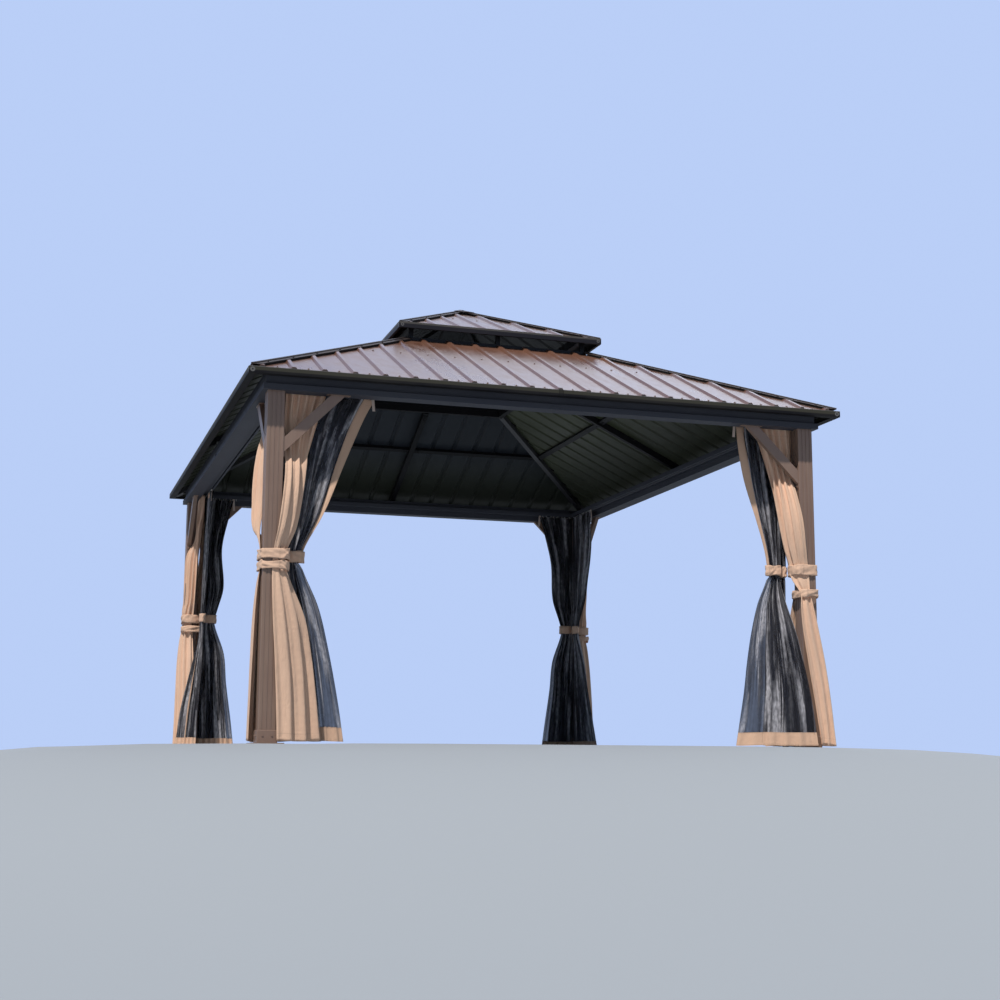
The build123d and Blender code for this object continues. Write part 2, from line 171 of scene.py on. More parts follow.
# Camera
# The photograph's viewpoint: in front and to the left, just below floor level, looking up.
eye = Vector((-3.0567, -10.9045, -0.116))
eye_yaw, eye_pitch, eye_roll = -0.2999, 0.1671, -0.0045
eye_focal_pixels = 1579.17
frame_pixels = 1000.0

camera = bpy.data.cameras.new("camera")
camera.sensor_width = 36.0
camera.lens = eye_focal_pixels / frame_pixels * camera.sensor_width
camera.clip_end = 200.0
camera_object = bpy.data.objects.new("camera", camera)
turn = (Matrix.Rotation(eye_yaw, 4, "Z") @ Matrix.Rotation(eye_pitch, 4, "X")
        @ Matrix.Rotation(eye_roll, 4, "Y") @ Matrix.Rotation(pi / 2, 4, "X"))
camera_object.matrix_world = Matrix.Translation(eye) @ turn
put_in(camera_object)
bpy.context.scene.camera = camera_object
bpy.context.scene.view_settings.view_transform = "Standard"


# Feet
# Welded steel base plates with a skirt round each post, powder coated brown like the
# posts. Two self-drilling screws through each side of the skirt hold the post.
class Finish(Tree):
    """A material on object coordinates, in metres."""

    def __init__(self, name, **surface):
        self.material = bpy.data.materials.new(name)
        self.material.use_nodes = True
        super().__init__(self.material.node_tree)
        self.shader = self.tree.nodes["Principled BSDF"]
        for socket, value in surface.items():
            self.shader.inputs[socket.replace("_", " ")].default_value = value
        self.place = self.node("ShaderNodeTexCoord", out="Object")

    def noise(self, scale, detail=2.0, stretch=(1, 1, 1), place=None):
        where = self.node("ShaderNodeVectorMath", {0: place or self.place, 1: stretch}, operation="MULTIPLY")
        return self.node("ShaderNodeTexNoise", {"Vector": where, "Scale": scale, "Detail": detail})

    def mix(self, share, a, b):
        a = a if isinstance(a, Wire) else (*a, 1)
        b = b if isinstance(b, Wire) else (*b, 1)
        return self.node("ShaderNodeMix", {0: share, 6: a, 7: b}, 2, data_type="RGBA", clamp_factor=True)

    def spread(self, value, low, high):
        """Value stretched so that low becomes 0 and high becomes 1, clamped."""
        return self.node("ShaderNodeMapRange", {0: value, 1: low, 2: high})

    def set(self, socket, wire):
        self.tree.links.new(wire.socket, self.shader.inputs[socket])

    def bump(self, height, depth, strength=1.0):
        relief = {"Height": height, "Distance": depth, "Strength": strength}
        self.set("Normal", self.node("ShaderNodeBump", relief))


def powder_coat(name, colour, dusty, rough, streak=(1, 1, 0.12), shine=0.5):
    """Satin powder coat: fine orange peel, faint dust and rain streaks down the piece."""
    coat = Finish(name, Roughness=rough, Specular_IOR_Level=shine)
    cloud = coat.spread(coat.noise(2.2, 4.0), 0.35, 0.75)
    runs = coat.spread(coat.noise(26.0, 3.0, streak), 0.48, 0.78)
    specks = coat.spread(coat.noise(310.0, 1.0), 0.69, 0.76)
    for share in (cloud * 0.35, runs * 0.3, specks * 0.25):
        colour = coat.mix(share, colour, dusty)
    coat.set("Base Color", colour)
    coat.set("Roughness", cloud * 0.1 + runs * 0.08 + (rough - 0.05))
    coat.bump(coat.noise(700.0, 1.0) * 0.6 + coat.noise(60.0, 2.0) * 0.4, 0.0003, 0.5)
    return coat.material


def wear(name, material):
    """Gives a piece of the frame its material."""
    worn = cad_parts[name].data.materials
    worn.clear()
    worn.append(material)


def link(name, mesh, material, smooth=False):
    """A finished mesh as a piece of the gazebo."""
    mesh.polygons.foreach_set("use_smooth", [smooth] * len(mesh.polygons))
    if material and not mesh.materials:
        mesh.materials.append(material)
    piece = bpy.data.objects.new(name, mesh)
    put_in(piece)
    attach(piece, "root")
    return piece


brown_coat = powder_coat("brown_powder_coat", (0.222, 0.141, 0.107), (0.34, 0.252, 0.194), 0.42)

screw_tree = Tree(bpy.data.node_groups.new("screw_heads", "GeometryNodeTree"))
screw_sockets = {}
for label, kind in (("Places", "Geometry"), ("Head radius", "Float"), ("Head height", "Float"),
                    ("Washer radius", "Float"), ("Washer height", "Float"), ("Finish", "Material")):
    screw_sockets[label] = screw_tree.tree.interface.new_socket(
        label, in_out="INPUT", socket_type="NodeSocket" + kind).identifier
screw_tree.tree.interface.new_socket("Geometry", in_out="OUTPUT", socket_type="NodeSocketGeometry")
screw_in = screw_tree.tree.nodes.new("NodeGroupInput")
given = {name: Wire(screw_tree, screw_in.outputs[name]) for name in screw_sockets}
rounds = []
for part, edges, under in (("Head", 6, given["Washer height"]), ("Washer", 10, 0.0)):
    size = {"Vertices": edges, "Radius": given[part + " radius"], "Depth": given[part + " height"]}
    shape = screw_tree.node("GeometryNodeMeshCylinder", size, fill_type="TRIANGLE_FAN")
    rise = screw_tree.node("ShaderNodeCombineXYZ", {"Z": given[part + " height"] * 0.5 + under})
    rounds.append(screw_tree.node("GeometryNodeTransform", {"Geometry": shape, "Translation": rise}))
whole = screw_tree.node("GeometryNodeJoinGeometry", {0: rounds[0]})
screw_tree.tree.links.new(rounds[1].socket, whole.socket.node.inputs[0])
facing = screw_tree.node("GeometryNodeInputNamedAttribute", {"Name": "facing"}, data_type="FLOAT_VECTOR")
aim = screw_tree.node("FunctionNodeAlignRotationToVector", {"Vector": facing}, axis="Z")
screws = screw_tree.node("GeometryNodeInstanceOnPoints",
                         {"Points": given["Places"], "Instance": whole, "Rotation": aim})
screws = screw_tree.node("GeometryNodeRealizeInstances", {0: screws})
screws = screw_tree.node("GeometryNodeSetMaterial", {"Geometry": screws, "Material": given["Finish"]})
screw_out = screw_tree.tree.nodes.new("NodeGroupOutput")
screw_tree.tree.links.new(screws.socket, screw_out.inputs[0])


def fasteners(name, places, material, head_radius, head_height, washer_radius):
    """Hexagon head screws at places, a list of (point, outward direction)."""
    points = bpy.data.meshes.new(name + "_places")
    points.from_pydata([tuple(p) for p, _ in places], [], [])
    aims = points.attributes.new("facing", "FLOAT_VECTOR", "POINT")
    aims.data.foreach_set("vector", [c for _, way in places for c in Vector(way).normalized()])
    stand = bpy.data.objects.new(name + "_places", points)
    put_in(stand)
    grow = stand.modifiers.new("screws", "NODES")
    grow.node_group = screw_tree.tree
    for label, value in (("Head radius", head_radius), ("Head height", head_height),
                         ("Washer radius", washer_radius), ("Washer height", 0.0015), ("Finish", material)):
        grow[screw_sockets[label]] = value
    shape = bpy.data.meshes.new_from_object(stand.evaluated_get(bpy.context.evaluated_depsgraph_get()))
    bpy.data.objects.remove(stand)
    return link(name, shape, material)


CORNERS = {"front_left": (-1, -1), "front_right": (1, -1),
           "back_left": (-1, 1), "back_right": (1, 1)}
foot_screw_height = 0.045
foot_screw_apart = 0.052
skirt_past_post = 0.008
wear("feet", brown_coat)
post_box = {name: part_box("post_" + name) for name in CORNERS}
foot_places = []
for low, high in post_box.values():
    middle = (low + high) / 2
    skirt = (high.x - low.x) / 2 + skirt_past_post
    for x, y in ((1, 0), (-1, 0), (0, 1), (0, -1)):
        way, across = Vector((x, y, 0)), Vector((y, x, 0)) * foot_screw_apart / 2
        for step in (-1, 1):
            at = Vector((middle.x, middle.y, foot_screw_height)) + way * skirt + across * step
            foot_places.append((at, way))
fasteners("foot_screws", foot_places, brown_coat, 0.0045, 0.003, 0.0065)

# Posts
# Square aluminium extrusions, 100 mm, with three flutes down each face. The coat is
# the same brown, with faint dust and rain streaks.
for name in CORNERS:
    wear("post_" + name, brown_coat)

# Beams
# Folded aluminium beams with a lip along the lower outer edge, mitred over the posts and
# bolted to them. A plate covers the splice in each lip, and a bracket stiffens each end.
ENDS, FLANKS = ("front", "back"), ("left", "right")
SIDES = ENDS + FLANKS
lip_face = {"front": 2.149, "back": 2.149, "left": 1.759, "right": 1.759}
splice_half, splice_thick = 0.03, 0.002
bracket_back, bracket_face = 0.07, 0.0725
beam_coat = powder_coat("charcoal_powder_coat", (0.056, 0.06, 0.078), (0.095, 0.098, 0.112), 0.6,
                        streak=(0.15, 0.15, 1), shine=0.12)


def turned_place(side):
    """Turns a place given as out of the side, along it and up into a point of the gazebo."""
    x, y = {"front": (0, -1), "back": (0, 1), "left": (-1, 0), "right": (1, 0)}[side]
    return lambda past, along, z: Vector((x * past - y * along, y * past + x * along, z))


def corner_place(corner, along_x):
    """Turns a distance along the beam from the post's inner face and a distance in
    from its outer face into a point of the gazebo."""
    sx, sy = CORNERS[corner]
    in_x, out_x = sorted(abs(point.x) for point in post_box[corner])
    in_y, out_y = sorted(abs(point.y) for point in post_box[corner])
    if along_x:
        return lambda along, deep, z: Vector((sx * (in_x - along), sy * (out_y - deep), z))
    return lambda along, deep, z: Vector((sx * (out_x - deep), sy * (in_y - along), z))


def blocks(name, shapes, material):
    """Six-sided blocks, each from the four corners of one end and of the other."""
    mesh = bpy.data.meshes.new(name)
    points, faces = [], []
    for near, far in shapes:
        k = len(points)
        points += [tuple(p) for p in (*near, *far)]
        middle = sum((Vector(p) for p in (*near, *far)), Vector()) / 8
        for quad in ((0, 1, 2, 3), (7, 6, 5, 4), (0, 4, 5, 1), (1, 5, 6, 2), (2, 6, 7, 3), (3, 7, 4, 0)):
            a, b, c = (Vector(points[k + i]) for i in quad[:3])
            outward = (b - a).cross(c - b).dot(a - middle) > 0
            faces.append([k + i for i in (quad if outward else quad[::-1])])
    mesh.from_pydata(points, [], faces)
    return link(name, mesh, material)


def plate(place, first, second):
    """A block between two corners given in the coordinates of place."""
    (a0, b0, c0), (a1, b1, c1) = first, second
    return [[place(a, b, c) for a, b in ((a0, b0), (a1, b0), (a1, b1), (a0, b1))] for c in (c0, c1)]


for side in SIDES:
    wear("beam_" + side, beam_coat)
panels = [(corner, along_x) for corner in CORNERS for along_x in (True, False)]
splices, brackets, beam_screws = [], [], []
for side in SIDES:
    place, lip = turned_place(side), lip_face[side]
    splices.append(plate(place, (lip, -splice_half, 2.003), (lip + splice_thick, splice_half, 2.027)))
    beam_screws += [(place(lip + splice_thick, at, 2.015), place(1, 0, 0)) for at in (-0.017, 0.017)]
for corner, along_x in panels:
    place = corner_place(corner, along_x)
    way = place(0, 1, 0) - place(0, 0, 0)
    brackets.append(plate(place, (-0.03, bracket_back, 2.074), (0.05, bracket_face, 2.104)))
    beam_screws += [(place(at, bracket_face, 2.089), way) for at in (0.008, 0.036)]
blocks("beam_splice_plates", splices, beam_coat)
blocks("beam_corner_brackets", brackets, beam_coat)
fasteners("beam_screws", beam_screws, beam_coat, 0.0035, 0.003, 0.006)

# Knee braces
# Flat 45 degree bars between post and beam, each with a plate behind either end,
# screwed to the post and to the underside of the beam.
brace_plate_out, brace_plate_in = 0.004, 0.038
post_plate_thick, beam_plate_under, beam_under = 0.0025, 1.9975, 2.0
down = Vector((0, 0, -1))
wear("knee_braces", brown_coat)
brace_plates, brace_screws = [], []
for corner, along_x in panels:
    place = corner_place(corner, along_x)
    out_post = place(1, 0, 0) - place(0, 0, 0)
    for (near, low), (far, high) in (((0.0, 1.618), (post_plate_thick, 1.756)),
                                     ((0.244, beam_plate_under), (0.384, beam_under))):
        brace_plates.append(plate(place, (near, brace_plate_out, low), (far, brace_plate_in, high)))
    brace_screws += [(place(post_plate_thick, 0.021, z), out_post) for z in (1.63, 1.744)]
    brace_screws += [(place(along, 0.021, beam_plate_under), down) for along in (0.256, 0.371)]
blocks("brace_plates", brace_plates, brown_coat)
fasteners("brace_screws", brace_screws, brown_coat, 0.004, 0.0035, 0.0065)

# Curtain tracks
# Double aluminium track screwed to the inner face of each beam, one slot for the
# privacy curtains and one for the insect nets.
for side in SIDES:
    wear("track_" + side, beam_coat)
glider_white = powder_coat("white_glider", (0.66, 0.66, 0.64), (0.48, 0.46, 0.42), 0.4)
net_reach = {"front_left": 0.555, "front_right": 0.44, "back_left": 0.29, "back_right": 0.34}
gliders = []
for corner, along_x in panels:
    place = corner_place(corner, along_x)
    net_end = net_reach[corner] if along_x else 0.47
    # slot's distance in, first and last glider along it, how many
    for deep, start, end, count in ((0.089, 0.028, 0.25, 6), (0.131, 0.066, net_end, 9)):
        for i in range(count):
            uneven = i + 0.15 * sin(i * 2.3 + deep * 90)
            gliders.append((place(start + (end - start) * uneven / (count - 1), deep, 2.04), down))
fasteners("track_gliders", gliders, glider_white, 0.002, 0.012, 0.0055)

# Roof frame
# Steel tubes: hip rafters from the corners, one rafter up the middle of each slope,
# a purlin across it, and the vent frame that they meet, joined with screwed plates.
frame_coat = powder_coat("frame_powder_coat", (0.008, 0.008, 0.01), (0.02, 0.019, 0.019), 0.5, shine=0.2)
# Painted highlight: the hip rafters get a lighter copy of the frame's near-black coat, as the light they
# catch.
hip_frame_highlight_coat = powder_coat("hip_rafter_coat", (0.05, 0.05, 0.056), (0.1, 0.096, 0.096), 0.45)
for name in ("mid_rafters", "purlins", "vent_base_sides", "vent_base_ends", "vent_top_sides",
             "vent_top_ends", "vent_struts", "upper_rafters", "apex_hub"):
    wear(name, frame_coat)
wear("hip_rafters", hip_frame_highlight_coat)
# half sizes and level of the eave, half sizes at the top, rise
tiers = {"lower": (1.845, 2.235, 2.098, 0.63, 0.97, 0.588),
         "upper": (0.709, 1.049, 2.76885, 0.045, 0.0666, 0.398)}
purlin_share = 0.605
joint_plate_thick = 0.0022
joint_plates, joint_screws, vent_trims = [], [], []
ex, ey, eave_level, tx, ty, rise = tiers["lower"]
for side in SIDES:
    eave, top = (ey, ty) if side in ENDS else (ex, tx)
    long_slope = hypot(top - eave, rise)
    turn = turned_place(side)
    below = -(turn(rise, 0, 0) + Vector((0, 0, eave - top))).normalized()
    up = (turn(top - eave, 0, 0) + Vector((0, 0, rise))).normalized()
    across = turn(0, 1, 0)
    foot = turn(eave, 0, eave_level)
    thick = below * joint_plate_thick
    for hand in (-1, 1):
        middle = foot + up * long_slope * purlin_share + across * hand * 0.0215 + below * 0.0265
        joint_plates.append([[middle + up * a * 0.019 + thick * b + across * hand * c
                              for a, b in ((-1, 0), (1, 0), (1, 1), (-1, 1))] for c in (0.0, 0.052)])
        joint_screws += [(middle + across * hand * c + thick, below) for c in (0.016, 0.038)]
    ring = foot + up * (long_slope - 0.06) + below * 0.0445
    joint_plates.append([[ring + up * a + thick * b + across * c for a, b in
                          ((-0.055, 0), (0.012, 0), (0.012, 1), (-0.055, 1))] for c in (-0.018, 0.018)])
    joint_screws += [(ring + up * a + thick, below) for a in (-0.042, -0.014)]
    inner, half = (0.927, 0.587) if side in ENDS else (0.587, 0.923)
    vent_trims.append(plate(turn, (inner - 0.004, -half, 2.69), (inner, half, 2.7168)))
blocks("vent_edge_trims", vent_trims, frame_coat)
blocks("rafter_joint_plates", joint_plates, frame_coat)
fasteners("rafter_screws", joint_screws, frame_coat, 0.004, 0.0035, 0.0065)

# Gutters
# Roll-formed aluminium channel round the eave, dark bronze with an olive band along the
# top, riveted through a sleeve at the middle of each side, and the fascia strip round the
# upper eave. Sleeve line and corner eyelets are in the paint, as are painted shade below the
# olive band and in the eyelet bores, and painted highlights along the top edges.
gutter_painted_shade_top, gutter_painted_highlight_from, gutter_sleeve = 2.079, 2.0975, 0.024
gutter_corner = 0.131
eyelet_in, eyelet_height, eyelet_radius, eyelet_bore = 0.022, 2.081, 0.014, 0.005


def gutter_enamel(name, along):
    """Bronze enamel, olive along the top with painted shade below and a painted highlight line on the top
    edge, with sleeve line and corner eyelets, for a gutter along x or y.
    """
    coat = Finish(name, Roughness=0.6, Specular_IOR_Level=0.06)
    x, y, height = coat.split(coat.place)
    run = coat.sum("ABSOLUTE", x if along == "x" else y)
    cloud = coat.spread(coat.noise(2.0, 4.0), 0.35, 0.75)
    runs = coat.spread(coat.noise(20.0, 3.0, (0.2, 0.2, 1)), 0.45, 0.78)
    # Painted shade: below the olive band the face is painted near black, as the shade on the gutter's lower
    # face.
    above_painted_shade = coat.spread(height, gutter_painted_shade_top - 0.004, gutter_painted_shade_top)
    base = coat.mix(above_painted_shade, (0.007, 0.007, 0.01), (0.052, 0.05, 0.04))
    base = coat.mix(cloud * 0.25 + runs * 0.2, base, (0.06, 0.058, 0.052))
    # Painted highlight: a pale line along the top edge.
    base = coat.mix(height > gutter_painted_highlight_from, base, (0.17, 0.165, 0.17))
    sleeve = 1 - (run > gutter_sleeve / 2)
    base = coat.mix(sleeve * 0.45, base, (0.012, 0.012, 0.013))
    base = coat.mix(coat.sum("COMPARE", run, gutter_sleeve / 2, 0.0012), base, (0.004, 0.004, 0.004))
    low, high = post_box["front_right"]
    corner = (high.x if along == "x" else -low.y) + gutter_corner - eyelet_in
    across, up = run - corner, height - eyelet_height
    away = across * across + up * up
    ring = (away > eyelet_bore ** 2) - (away > eyelet_radius ** 2)
    # Painted shade: the eyelet's bore is painted near black.
    base = coat.mix(1 - (away > eyelet_bore ** 2), base, (0.01, 0.01, 0.01))
    coat.set("Base Color", coat.mix(ring, base, (0.15, 0.15, 0.155)))
    coat.set("Roughness", cloud * 0.12 + runs * 0.08 + 0.54)
    coat.bump(coat.noise(60.0, 2.0) * 0.3 + sleeve * 0.8 + ring, 0.0005, 0.6)
    return coat.material


gutter_ends = gutter_enamel("bronze_gutter_ends", "x")
gutter_sides = gutter_enamel("bronze_gutter_sides", "y")


def fascia_enamel(name):
    """The same enamel, near black, with a painted highlight on its rolled top edge, and corner eyelets."""
    coat = Finish(name, Roughness=0.5, Specular_IOR_Level=0.2)
    low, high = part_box("upper_fascia")
    x, y, height = coat.split(coat.place)
    base = coat.mix(coat.spread(coat.noise(2.0, 4.0), 0.35, 0.75) * 0.4,
                    (0.01, 0.009, 0.012), (0.035, 0.029, 0.03))
    # Painted highlight: the face above this height is painted lighter.
    fascia_highlight_from = low.z + (high.z - low.z) * 0.72
    base = coat.mix(coat.spread(height, fascia_highlight_from - 0.003, fascia_highlight_from), base, (0.085, 0.08, 0.074))
    up = height - (low.z + high.z) / 2
    for run, end, flank, face in ((x, high.x, y, high.y), (y, high.y, x, high.x)):
        across = coat.sum("ABSOLUTE", run) - (end - eyelet_in)
        away = across * across + up * up
        on_face = coat.sum("ABSOLUTE", flank) > face - 0.003
        ring = ((away > eyelet_bore ** 2) - (away > 0.011 ** 2)) * on_face
        base = coat.mix(ring, base, (0.14, 0.14, 0.145))
    coat.set("Base Color", base)
    coat.bump(coat.noise(60.0, 2.0), 0.0002, 0.6)
    return coat.material


for side in SIDES:
    wear("gutter_" + side, gutter_ends if side in ENDS else gutter_sides)
wear("upper_fascia", fascia_enamel("black_fascia_enamel"))


# Roof sheets
# Ribbed steel sheet, stove enamelled glossy brown outside and dull grey-green inside,
# screwed through the pans to the frame, with a plug in the open end of each rib. Its
# paint carries painted reflections and shade: navy and olive inside, darker in the vent,
# lighter on the upper tier and warmer under the vent.
upper_tier = 2.72


def roof_enamel(name, along, under):
    """Glossy brown enamel above, primer under, with painted reflections and shade on both; dust washes down
    the slope, which runs along.
    """
    coat = Finish(name, Roughness=0.3, Specular_IOR_Level=0.42, Coat_Roughness=0.2, Coat_IOR=1.45)
    stretch = (1, 0.1, 1) if along == "y" else (0.1, 1, 1)
    cloud = coat.spread(coat.noise(1.3, 5.0), 0.35, 0.72)
    wash = coat.spread(coat.noise(15.0, 4.0, stretch), 0.45, 0.8)
    specks = coat.spread(coat.noise(240.0, 1.0), 0.68, 0.76)
    above = coat.mix(cloud * 0.5, (0.13, 0.062, 0.043), (0.168, 0.092, 0.071))
    above = coat.mix(wash * 0.28, above, (0.23, 0.17, 0.14))
    above = coat.mix(specks * 0.22, above, (0.26, 0.21, 0.18))
    height = coat.split(coat.place)[2]
    upper = height > upper_tier
    # Painted reflection: under the vent the lower roof is painted warmer and given less coat, as it shows the
    # dark vent in place of the sky.
    vent_reflection_band = coat.spread(height + cloud * 0.12 + wash * 0.07, 2.54, 2.76) * (1 - upper)
    above = coat.mix(vent_reflection_band * 0.75, above, (0.17, 0.078, 0.048))
    # Painted reflection: the upper tier is painted lighter and greyer, as the sky's sheen on it.
    above = coat.mix(upper * 0.18, above, (0.25, 0.22, 0.23))
    below = coat.mix(cloud, under, [c * 1.5 for c in under])
    # Painted light under the sheets: olive low down, as light thrown up from green ground, and near black on
    # the upper tier, as the shade inside the vent.
    below = coat.mix(coat.spread(height, 2.44, 2.28) * 0.8, below, (0.036, 0.04, 0.026))
    below = coat.mix(upper, below, (0.01, 0.011, 0.012))
    up = coat.node("ShaderNodeNewGeometry", out="True Normal")
    upward = coat.split(up)[2] > -0.48
    coat.set("Base Color", coat.mix(upward, below, above))
    coat.set("Roughness", cloud * 0.12 + wash * 0.14 + (0.46 - upward * 0.2))
    coat.set("Coat Weight", upward * (0.28 - vent_reflection_band * 0.26))
    coat.bump(coat.noise(3.2, 2.0) * (upward * 0.62 + 0.06), 0.0016, 0.6)
    return coat.material


# One primer underneath, painted navy on the ends and olive on the sides as painted reflections of sky and
# green ground.
enamel_ends = roof_enamel("brown_enamel_ends", "y", (0.014, 0.018, 0.024))
enamel_sides = roof_enamel("brown_enamel_sides", "x", (0.048, 0.056, 0.028))
for side in SIDES:
    for tier in tiers:
        wear(tier + "_sheet_" + side, enamel_ends if side in ENDS else enamel_sides)
rib_pitch = 0.178
rib_half = 0.021


def slope(tier, side):
    """Half lengths of a sheet at eave and top, and its points and outward direction: share
    of the way up, place along it, and lift off the underside."""
    ex, ey, ez, tx, ty, rise = tiers[tier]
    eave, top, long, short = (ey, ty, ex, tx) if side in ENDS else (ex, tx, ey, ty)
    turn = turned_place(side)
    normal = (turn(rise, 0, 0) + Vector((0, 0, eave - top))).normalized()
    return long, short, normal, lambda share, along, lift: (
        turn(eave - (eave - top) * share, along, ez + rise * share) + normal * lift)


plugs, pan_screws = [], []
for tier in tiers:
    for side in SIDES:
        long, short, normal, at = slope(tier, side)
        count = int((2 * long - 2 * rib_half) / rib_pitch)
        for i in range(count + 1):
            mid = (i - count / 2) * rib_pitch
            if tier == "lower" and abs(mid) + rib_half < long - 0.001:
                plugs.append([[at(share, mid + across, lift) for across, lift in
                               ((-0.0203, 0.0002), (-0.0098, 0.0131), (0.0098, 0.0131), (0.0203, 0.0002))]
                              for share in (0.0008, 0.003)])
            pan = mid + rib_pitch / 2
            for share in (0.028, 0.605, 0.972) if tier == "lower" else (0.1, 0.62):
                if abs(pan) < long + (short - long) * share - 0.055:
                    pan_screws.append((at(share, pan, 0.0015), normal))
# Painted highlight: plugs and screw heads are painted lighter than the sheet's brown, standing in for the
# pans' sheen and hiding their own shade.
painted_highlight_plug_coat = powder_coat("brown_rib_plug", (0.22, 0.155, 0.135), (0.27, 0.2, 0.18), 0.42)
blocks("rib_end_plugs", plugs, painted_highlight_plug_coat)
fasteners("sheet_screws", pan_screws, painted_highlight_plug_coat, 0.0042, 0.004, 0.0078)

# Hip caps
# Folded strips in dark brown enamel along each hip, screwed to the sheets over foam
# closure strips, and the cap over the apex.
cap_coat = powder_coat("dark_cap_enamel", (0.03, 0.022, 0.02), (0.085, 0.064, 0.054), 0.52, shine=0.16)
for name in ("lower_hip_caps", "upper_hip_caps", "apex_cap"):
    wear(name, cap_coat)
strip_near, strip_far, strip_gap = 0.014, 0.033, 0.0018
cap_rest = 0.015
apex_level, apex_rise = 3.19385, 0.425
closures, cap_screws = [], []
for tier, (ex, ey, ez, tx, ty, rise) in tiers.items():
    rest = cap_rest / sin(atan(min(ex - tx, ey - ty) / rise))
    run = Vector((ex - tx, ey - ty)).length
    strip_end, steps_up = (0.985, 7) if tier == "lower" else (0.93, 4)
    for sx, sy in CORNERS.values():

        def beside(t, off, lift):
            """A point over the hip at share t of it, off to one side in plan, and the slope it is on."""
            x = ex - (ex - tx) * t - (ey - ty) / run * off
            y = ey - (ey - ty) * t + (ex - tx) / run * off
            drop_x, drop_y = (ex - x) / (ex - tx), (ey - y) / (ey - ty)
            way = Vector((sx * rise, 0, ex - tx)) if drop_x < drop_y else Vector((0, sy * rise, ey - ty))
            return Vector((sx * x, sy * y, ez + rise * min(drop_x, drop_y) + lift)), way

        for hand in (-1, 1):
            edges = ((strip_near, strip_gap), (strip_far, strip_gap),
                     (strip_far, rest - 0.0006), (strip_near, rest - 0.0006))
            closures.append([[beside(t, hand * off, lift)[0] for off, lift in edges]
                             for t in (0.035, strip_end)])
            cap_screws += [beside((i + 0.5) / steps_up, hand * 0.027, rest + 0.003) for i in range(steps_up)]
ex, ey = tiers["upper"][:2]
apex_lift = cap_rest / sin(atan(ex / apex_rise)) + 0.013
for side in FLANKS + ENDS:
    out, half = (0.075, ey) if side in ENDS else (0.052, ex)
    turn = turned_place(side)
    level = apex_level - out * apex_rise / half + apex_lift
    cap_screws.append((turn(out, 0, level), turn(apex_rise, 0, half)))
closure_foam = Finish("black_closure_foam", Roughness=0.9, Specular_IOR_Level=0.2)
closure_foam.set("Base Color", closure_foam.mix(closure_foam.spread(closure_foam.noise(160.0), 0.4, 0.7),
                                                (0.016, 0.014, 0.013), (0.04, 0.034, 0.03)))
closure_foam.bump(closure_foam.noise(400.0), 0.0006, 0.6)
blocks("hip_closure_strips", closures, closure_foam.material)
fasteners("cap_screws", cap_screws, cap_coat, 0.0042, 0.004, 0.0078)


# Privacy curtains
# Woven khaki polyester, two panels at each corner. Each hangs from gliders in the outer
# slot of its track, is drawn back round the post at waist height and falls loose below.
def eased(levels, z):
    """The columns at height z of levels, rows that start with a falling height."""
    z = min(max(z, levels[-1][0]), levels[0][0])
    i = max(k for k in range(len(levels) - 1) if levels[k][0] >= z)
    a, b = levels[i], levels[i + 1]
    before, after = levels[max(i - 1, 0)], levels[min(i + 2, len(levels) - 1)]
    run = b[0] - a[0]
    t = (z - a[0]) / run
    row = []
    for k in range(1, len(a)):
        leave = (b[k] - before[k]) / (b[0] - before[0]) * run
        reach = (after[k] - a[k]) / (after[0] - a[0]) * run
        row.append((2 * t ** 3 - 3 * t ** 2 + 1) * a[k] + (t ** 3 - 2 * t ** 2 + t) * leave
                   + (3 * t ** 2 - 2 * t ** 3) * b[k] + (t ** 3 - t ** 2) * reach)
    return row


def ease(t):
    t = min(max(t, 0.0), 1.0)
    return t * t * (3 - 2 * t)


def wobble(x, y, seed):
    return noise.noise(Vector((x, y, seed * 7.31 + 0.5)))


tie_height = 1.045
tie_at = {"front_left": 1.058, "front_right": 1.1, "back_left": 1.045, "back_right": 1.045}
cloth_top = 2.03
cloth_clear = 0.018


def tied(levels, tie):
    """The levels with their waist moved to the height tie."""
    return [(row[0] + (tie - tie_height) * (1 - abs(row[0] - tie_height) / 1.03), *row[1:]) for row in levels]


def doubled(stops, u):
    """Share of the way along a run that doubles back at each of stops."""
    leg = min(max(u, 0.0), 0.9999) * (len(stops) - 1)
    k = int(leg)
    part = leg - k
    return stops[k] + (stops[k + 1] - stops[k]) * (0.5 * part + 0.5 * ease(part))


def drape(turn):
    """A hanging fold, rounder and steeper on one side, -1 to 1."""
    return 0.74 * sin(turn) + 0.26 * sin(2 * turn + 0.9) + 0.13 * sin(3 * turn + 0.4)


